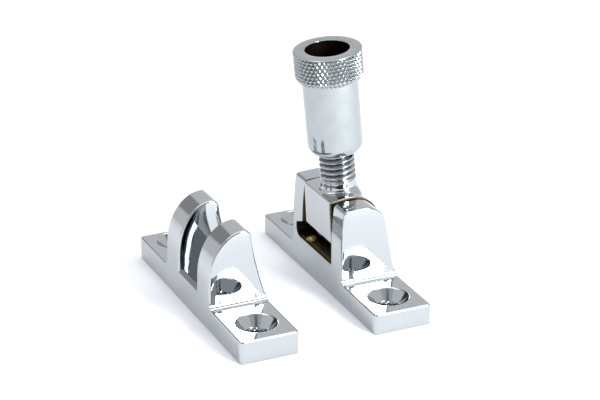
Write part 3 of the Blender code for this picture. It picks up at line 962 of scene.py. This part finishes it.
@dataclass
class SwivelArm:
    """The swivel arm in one piece: block on the pivot, flared neck and threaded stud."""

    block_length: float = 13.4
    foot_radius: float = 6.4
    foot_span: Point = (194.5, 333.0)
    right: float = 5.7
    shoulder_foot: float = 0.6
    top: float = 7.7
    top_drop: float = 0.1
    left_top: float = 5.8
    crest_inset: float = 1.6
    stud_inset: float = 0.5
    neck: float = 7.7
    neck_foot_height: float = 1.1
    neck_foot: float = 9.9
    shoulder_reach: float = 0.75
    shoulder_drop: float = 0.65
    thread: float = 7.8
    pitch: float = 1.25
    depth: float = 0.65
    rings_per_turn: int = 14
    thread_start: float = 9.4
    stud_end: float = 30.2
    end_hole: float = 4.1
    end_hole_depth: float = 7.0
    pin_diameter: float = 4.1
    lean: float = 4.9
    rim: float = 0.4

    def top_at(self, x: float) -> float:
        """The height of the block's top above the pivot at x."""
        past = x + self.crest_inset
        if past > 0:
            rise = math.sqrt(max(0.0, 1 - (past / (self.right + self.crest_inset)) ** 2))
            return self.shoulder_foot + (self.top - self.shoulder_foot) * rise
        share = -past / (self.left_top - self.crest_inset)
        return self.top - self.top_drop * share**2

    def block_outline(self) -> Outline:
        """The block from its end: a round foot, one long shoulder and a nearly flat top."""
        radius = self.foot_radius
        outline = arc((0, 0), (radius, radius), *self.foot_span, 40)
        reach = (self.right + self.crest_inset, self.top - self.shoulder_foot)
        outline += arc((-self.crest_inset, self.shoulder_foot), reach, 0, 90, 36)
        run = self.left_top - self.crest_inset
        outline += [
            (x, self.top_at(x)) for x in (-self.crest_inset - run * i / 6 for i in range(1, 7))
        ]
        return softened(outline, 0.7, 6, 30)

    def neck_row(self, t: float) -> Row:
        """One ring of the neck's flared foot, which reaches further down the shoulder.

        Args:
            t: Where the ring is, from 0 on the neck to 1 on the block.

        Returns:
            The ring's function.
        """

        def ring(angle: float) -> Point:
            """The flare's radius and height at an angle."""
            share = max(0.0, math.cos(angle)) ** 2
            end = self.neck_foot / 2 + self.shoulder_reach * share
            drop = self.shoulder_drop * share
            spots = (
                (self.neck / 2, self.top + self.neck_foot_height),
                (self.neck / 2 + 0.6 * drop, self.top - drop),
                (end, self.top_at(end * math.cos(angle) - self.stud_inset) - 0.02),
            )
            weights = ((1 - t) ** 2, 2 * t * (1 - t), t**2)
            radius, height = (sum(w * s[k] for w, s in zip(weights, spots)) for k in (0, 1))
            return radius, height

        return ring

    def thread_row(self, height: float) -> Row:
        """One ring of the stud's thread, with soft crests and a fading first turn."""
        crest = self.thread / 2

        def ring(angle: float) -> Point:
            """The thread's radius and height at an angle."""
            phase = height / self.pitch - angle / (2 * math.pi)
            groove = 0.5 - 0.5 * math.cos(2 * math.pi * phase)
            started = min(1.0, max(0.0, (height - self.thread_start) / self.pitch))
            ending = min(1.0, max(0.0, (self.stud_end - height) / 0.6))
            radius = crest - self.depth * (groove**1.15) * started
            return min(radius, crest - self.depth * (1 - ending)), height

        return ring

    def stud(self) -> Piece:
        """Builds neck, thread and the drilled end as one turned piece."""
        root = self.thread / 2 - self.depth
        rows: list[Row] = [fixed_ring(self.neck / 4, self.top / 3)]
        rows += [self.neck_row(1 - i / 12) for i in range(13)]
        middle = (self.top + self.neck_foot_height + self.thread_start) / 2
        rows.append(fixed_ring(self.neck / 2, middle))
        run = self.stud_end - self.thread_start
        count = int(run / self.pitch * self.rings_per_turn)
        rows += [self.thread_row(self.thread_start + run * i / count) for i in range(count + 1)]
        hole = self.end_hole / 2
        rows += fixed_rings([(root - 0.3, self.stud_end), (hole, self.stud_end)])
        rows.append(fixed_ring(hole, self.stud_end - self.end_hole_depth))
        bm = turned_grid(rows, ROUND_STEPS, False)
        bmesh.ops.translate(bm, vec=(-self.stud_inset, 0, 0), verts=bm.verts)
        return as_object("stud", bm)

    def on_side(self, spot: Vector, normal: Vector) -> bool:
        """Whether a face lies on one of the block's two flat sides, which aren't plated and carry
        painted gap shade.
        """
        return abs(spot.y) > self.block_length / 2 - self.rim / 3 and abs(normal.y) > 0.6

    def thread_depth(self, spot: Vector) -> float:
        """How deep a point lies in the thread, as a share of the thread's depth."""
        if not self.thread_start < spot.z < self.stud_end - 0.5:
            return 0.0
        radius = math.hypot(spot.x + self.stud_inset, spot.y)
        return max(0.0, (self.thread / 2 - radius) / self.depth) ** 1.5 if radius > 3.0 else 0.0

    def build(self, chrome: Material, bare: Material) -> Piece:
        """Builds the arm, leans it about the pivot and hangs it on its CAD body.

        Args:
            chrome: The plate's finish.
            bare: The finish of the block's sides, which aren't plated, darkened further as painted
                shade in the gaps.

        Returns:
            The arm.
        """
        half = self.block_length / 2
        arm = as_object(
            "swivel_arm_threaded",
            rounded_prism(self.block_outline(), -half, half, self.rim, Along.Y),
        )
        combined(arm, "UNION", [self.stud()])
        combined(arm, "DIFFERENCE", [pin_cutter(self.pin_diameter, -9, 9)])
        place = arm_place(self.lean)
        finished(arm, place, chrome, 40.0)
        # Marks the thread's depth, which the chrome darkens as painted shade in the grooves.
        mark_grooves(arm, place, self.thread_depth)
        second_finish(arm, bare, place, self.on_side)
        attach(arm, "arm")
        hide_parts("swivel_arm")
        return arm


def arm_place(lean: float) -> Matrix:
    """The arm's frame: on the pivot's axis, leaned about it."""
    pivot = Vector(next(j for j in frame["joints"] if j["name"] == "arm_swing")["pos_m"])
    return Matrix.Translation(pivot) @ Matrix.Rotation(-math.radians(lean), 4, "Y")


@dataclass
class Thimble:
    """The thimble: a plain sleeve with a diamond-knurled collar and an open bore."""

    bottom: float = 16.3
    length: float = 23.1
    sleeve: float = 12.0
    end_round: Point = (1.65, 2.0)
    collar: float = 14.7
    collar_length: float = 6.6
    top_round: float = 0.25
    foot_round: float = 1.1
    bore: float = 9.5
    floor: float = 1.0
    mouth: float = 8.42
    stud_inset: float = 0.5
    lean: float = 4.9
    diamonds: int = 46
    knurl_depth: float = 0.42
    knurl_slant: float = 1.6
    columns: int = 8

    def knurl_row(
        self, radius: float, height: float, low: float, high: float
    ) -> Row:
        """One ring of the knurl: two crossing sets of V grooves leave pointed diamonds.

        Args:
            radius: The ring's radius at the tips of the diamonds.
            height: The ring's height.
            low: Where the knurl starts.
            high: Where it ends.

        Returns:
            The ring's function.
        """
        fade = min(1.0, (height - low) / 0.2, (high - height) / 0.12)

        def ring(angle: float) -> Point:
            """The knurl's radius and height at an angle."""
            around = angle * self.diamonds / (2 * math.pi)
            along = (height - low) / (math.pi * self.collar / self.diamonds * self.knurl_slant)
            ridges = [2 * abs((part % 1.0) - 0.5) for part in (around + along, around - along)]
            groove = 1 - min(ridges)
            return radius - self.knurl_depth * groove * max(0.0, fade), height

        return ring

    def build(self, chrome: Material, bare: Material) -> Piece:
        """Builds the thimble, leans it with the arm and hangs it on its CAD body.

        Args:
            chrome: The turned and knurled finish.
            bare: The finish of the drilled bore, which isn't plated.

        Returns:
            The thimble.
        """
        top = self.bottom + self.length
        sleeve, collar, bore = self.sleeve / 2, self.collar / 2, self.bore / 2
        collar_foot = top - self.collar_length
        mouth, edge = self.mouth / 2, self.top_round
        inside = [(mouth, self.bottom + self.floor), (mouth, self.bottom + 0.1)]
        rows = fixed_rings(inside + [(mouth + 0.08, self.bottom)])
        centre = (sleeve - self.end_round[0], self.bottom + self.end_round[1])
        rows += fixed_rings(arc(centre, self.end_round, -90, 0, 14))
        rows += fixed_rings([(sleeve, collar_foot - drop) for drop in (9, 3, 0.6, 0.3, 0.16, 0.1)])
        rows.append(fixed_ring(sleeve + 0.06, collar_foot - 0.02))
        foot = self.foot_round
        turn = arc((collar - foot, collar_foot + foot), (foot, foot), -90, 0, 10)
        low, high = collar_foot + 0.1, top - edge - 0.06
        rows += [self.knurl_row(r, z, low, high) for r, z in turn]
        step = math.pi * self.collar / self.diamonds * self.knurl_slant / self.columns
        start = turn[-1][1]
        count = int((high - start) / step)
        rows += [self.knurl_row(collar, start + step * i, low, high) for i in range(1, count + 1)]
        rows.append(fixed_ring(collar, high + 0.05))
        rows += fixed_rings(arc((collar - edge, top - edge), (edge, edge), 0, 90, 5))
        lip = [(bore + 0.15, top), (bore + 0.04, top - 0.04), (bore, top - 0.15)]
        rows += fixed_rings(lip + [(bore, self.bottom + self.floor)])
        bm = turned_grid(rows, self.diamonds * self.columns, True)
        bmesh.ops.translate(bm, vec=(-self.stud_inset, 0, 0), verts=bm.verts)
        place = arm_place(self.lean)
        thimble = finished(as_object("thimble_knurled", bm), place, chrome, 50.0)

        def knurl_depth(spot: Vector) -> float:
            """How deep a point lies in the knurl's grooves."""
            radius = math.hypot(spot.x + self.stud_inset, spot.y)
            outside = not start < spot.z < high or radius < collar - self.knurl_depth - 0.02
            return 0.0 if outside else max(0.0, (collar - radius) / self.knurl_depth) ** 3

        # Marks the knurl's depth, which the finish darkens as painted shade in the grooves.
        mark_grooves(thimble, place, knurl_depth)

        def in_bore(spot: Vector, normal: Vector) -> bool:
            """Whether a face lies in the bore."""
            return math.hypot(spot.x + self.stud_inset, spot.y) < bore + 0.01 and spot.z < top - 0.2

        second_finish(thimble, bare, place, in_bore)
        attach(thimble, "thimble")
        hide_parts("thimble_sleeve")
        return thimble


@dataclass
class InnerWorks:
    """The small CAD pieces inside the fastener, which keep their shapes."""

    edge: float = 0.12

    def dress(self, finishes: dict[str, Material]) -> list[Piece]:
        """Gives each CAD piece its finish and a fine broken edge.

        Args:
            finishes: The finish of each CAD node by its name.

        Returns:
            The CAD pieces.
        """
        pieces = []
        for name, material in finishes.items():
            piece = frame["nodes"][name]
            piece.data.materials.clear()
            piece.data.materials.append(material)
            weld = piece.modifiers.new("weld", "WELD")
            weld.merge_threshold = 0.002 * MM
            bevel = piece.modifiers.new("broken edge", "BEVEL")
            bevel.width = self.edge * MM
            bevel.segments = 2
            bevel.limit_method = "ANGLE"
            bevel.angle_limit = math.radians(50)
            pieces.append(piece)
        return pieces


def grey(tone: float) -> Colour:
    """A cool grey of one brightness for the room's light."""
    return tone * 0.985, tone, tone * 1.03, 1.0


@dataclass(frozen=True)
class Card:
    """A round dark card in the room, which shows only in reflections.

    Azimuth is in degrees from the far side towards the right.
    """

    azimuth: float
    elevation: float
    reach: float
    soft: float
    tone: float

    def direction(self) -> tuple[float, float, float]:
        """The direction of the card's middle."""
        across, up = math.radians(self.azimuth), math.radians(self.elevation)
        return math.sin(across) * math.cos(up), math.cos(across) * math.cos(up), math.sin(up)


@dataclass
class Studio:
    """Pale floor, one softbox, the room's light and the camera.

    The softbox is given in metres and watts.
    """

    azimuth: float = -24.04
    elevation: float = 23.14
    distance: float = 509.7
    target: Point = (8.705, 42.678)
    roll: float = 0.453
    lens: float = 129.0
    floor_colour: str = "#F4F5F7"
    fibre_colour: str = "#F1F2F4"
    fibre_width: float = 0.4
    walls: float = 0.86
    ceiling: float = 2.9
    key_place: Spot = (0.178, -0.415, 0.218)
    key_aim: Spot = (-0.012, 0.0, 0.0)
    key_width: float = 0.17
    key_power: float = 3.3
    cards: tuple[Card, ...] = (
        Card(azimuth=-15, elevation=20, reach=11, soft=4, tone=0.4),
        Card(azimuth=-165, elevation=58, reach=26, soft=8, tone=0.62),
        Card(azimuth=-160, elevation=26, reach=19, soft=7, tone=0.1),
    )

    def camera(self) -> Piece:
        """Makes the camera, a long lens a little above the object."""
        across, up = math.radians(self.azimuth), math.radians(self.elevation)
        back = Vector(
            (math.sin(across) * math.cos(up), -math.cos(across) * math.cos(up), math.sin(up))
        )
        data = bpy.data.cameras.new("long_lens")
        data.lens = self.lens
        data.sensor_width = 36.0
        data.clip_start, data.clip_end = 0.01, 20.0
        obj = bpy.data.objects.new("long_lens", data)
        bpy.context.scene.collection.objects.link(obj)
        obj.rotation_mode = "QUATERNION"
        obj.location = (Vector((*self.target, 0)) + back * self.distance) * MM
        level = (-back).to_track_quat("-Z", "Y")
        tilt = Matrix.Rotation(math.radians(-self.roll), 3, back).to_quaternion()
        obj.rotation_quaternion = tilt @ level
        bpy.context.scene.camera = obj
        return obj

    def floor(self) -> Piece:
        """Makes the floor, which is wide enough to fill every view."""
        bm = bmesh.new()
        bmesh.ops.create_grid(bm, x_segments=2, y_segments=2, size=3.0)
        obj = as_object("studio_floor", bm)
        material, shader, where = blank_material("matt_paper_sweep", 0.0)
        tree = material.node_tree
        shader.inputs["Roughness"].default_value = 0.9
        # Paper fibre, a fraction of a millimetre long, barely shows.
        colours = (self.fibre_colour, self.floor_colour)
        _, tone = mottled(tree, where, self.fibre_width, 2.0, colours)
        tree.links.new(tone, shader.inputs["Base Color"])
        obj.data.materials.append(material)
        return obj

    def world(self) -> None:
        """Makes the room's light: grey walls, a bright ceiling and three darker cards."""
        world = bpy.data.worlds.new("studio_room")
        bpy.context.scene.world = world
        world.use_nodes = True
        tree = world.node_tree
        tree.nodes.clear()
        way = add_node(tree, "ShaderNodeTexCoord")
        split = add_node(tree, "ShaderNodeSeparateXYZ", links={"Vector": way.outputs["Generated"]})
        walls = add_node(tree, "ShaderNodeValToRGB", links={"Fac": split.outputs["Z"]})
        ramp = walls.color_ramp
        ramp.elements[0].position, ramp.elements[0].color = 0.0, grey(self.walls)
        ramp.elements[1].position, ramp.elements[1].color = 1.0, grey(self.ceiling)
        for place, tone in ((0.78, self.walls), (0.86, self.ceiling)):
            ramp.elements.new(place).color = grey(tone)
        shade = walls.outputs["Color"]
        for card in self.cards:
            facing = add_node(
                tree, "ShaderNodeVectorMath", settings={"operation": "DOT_PRODUCT"},
                values={1: card.direction()}, links={0: way.outputs["Generated"]},
            )
            edge = add_node(
                tree, "ShaderNodeMapRange", settings={"interpolation_type": "SMOOTHSTEP"},
                values={
                    "From Min": math.cos(math.radians(card.reach + card.soft)),
                    "From Max": math.cos(math.radians(card.reach)),
                },
                links={"Value": facing.outputs["Value"]},
            )
            laid = add_node(
                tree, "ShaderNodeMix", settings=RGBA_MIX, values={7: grey(card.tone)},
                links={0: edge.outputs["Result"], 6: shade},
            )
            shade = laid.outputs[2]
        light = add_node(tree, "ShaderNodeBackground", links={"Color": shade})
        add_node(tree, "ShaderNodeOutputWorld", links={"Surface": light.outputs["Background"]})

    def key_light(self) -> None:
        """Makes the softbox at the front right, the only lamp."""
        data = bpy.data.lights.new("key_softbox", "AREA")
        data.shape = "SQUARE"
        data.size = self.key_width
        data.energy = self.key_power
        data.color = (0.98, 0.99, 1.0)
        obj = bpy.data.objects.new("key_softbox", data)
        obj.location = Vector(self.key_place)
        aim = Vector(self.key_aim) - obj.location
        obj.rotation_euler = aim.to_track_quat("-Z", "Y").to_euler()
        bpy.context.scene.collection.objects.link(obj)

    def build(self) -> None:
        """Sets up the room, the key light, the floor and the camera."""
        self.world()
        self.key_light()
        self.floor()
        self.camera()
        bpy.context.scene.view_settings.view_transform = "Standard"


def corners(box: tuple[Vector, Vector]) -> list[list[float]]:
    """A box's two corners as plain lists."""
    return [list(corner) for corner in box]


def main() -> None:
    """Builds every sub-assembly in order and logs each piece."""
    logging.basicConfig(level=logging.INFO, format="%(name)s: %(message)s")
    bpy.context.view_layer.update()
    chrome, turned = PolishedChrome().material(), TurnedChrome().material()
    brass, bronze, steel = BRASS.material(), BRONZE.material(), STEEL.material()
    tarnish, bare = TARNISH.material(), SHADED_BARE_BRASS.material()
    pieces = [Keep(ScrewPlate(thickness=5.1)).build(chrome)]
    pieces += FastenerBody(ScrewPlate(thickness=4.6)).build(chrome, brass, bare)
    pieces.append(SwivelArm().build(chrome, bare))
    pieces.append(Thimble().build(turned, tarnish))
    pieces += InnerWorks().dress(
        {
            "pivot_pin": chrome,
            "leaf_spring": bronze,
            "spring_rivet": brass,
            "thimble_bush": brass,
            "stop_washer": steel,
            "stop_screw": steel,
        }
    )
    Studio().build()
    for piece in pieces:
        LOG.info("%s: %d faces", piece.name, len(piece.data.polygons))


if __name__ == "__main__":
    main()
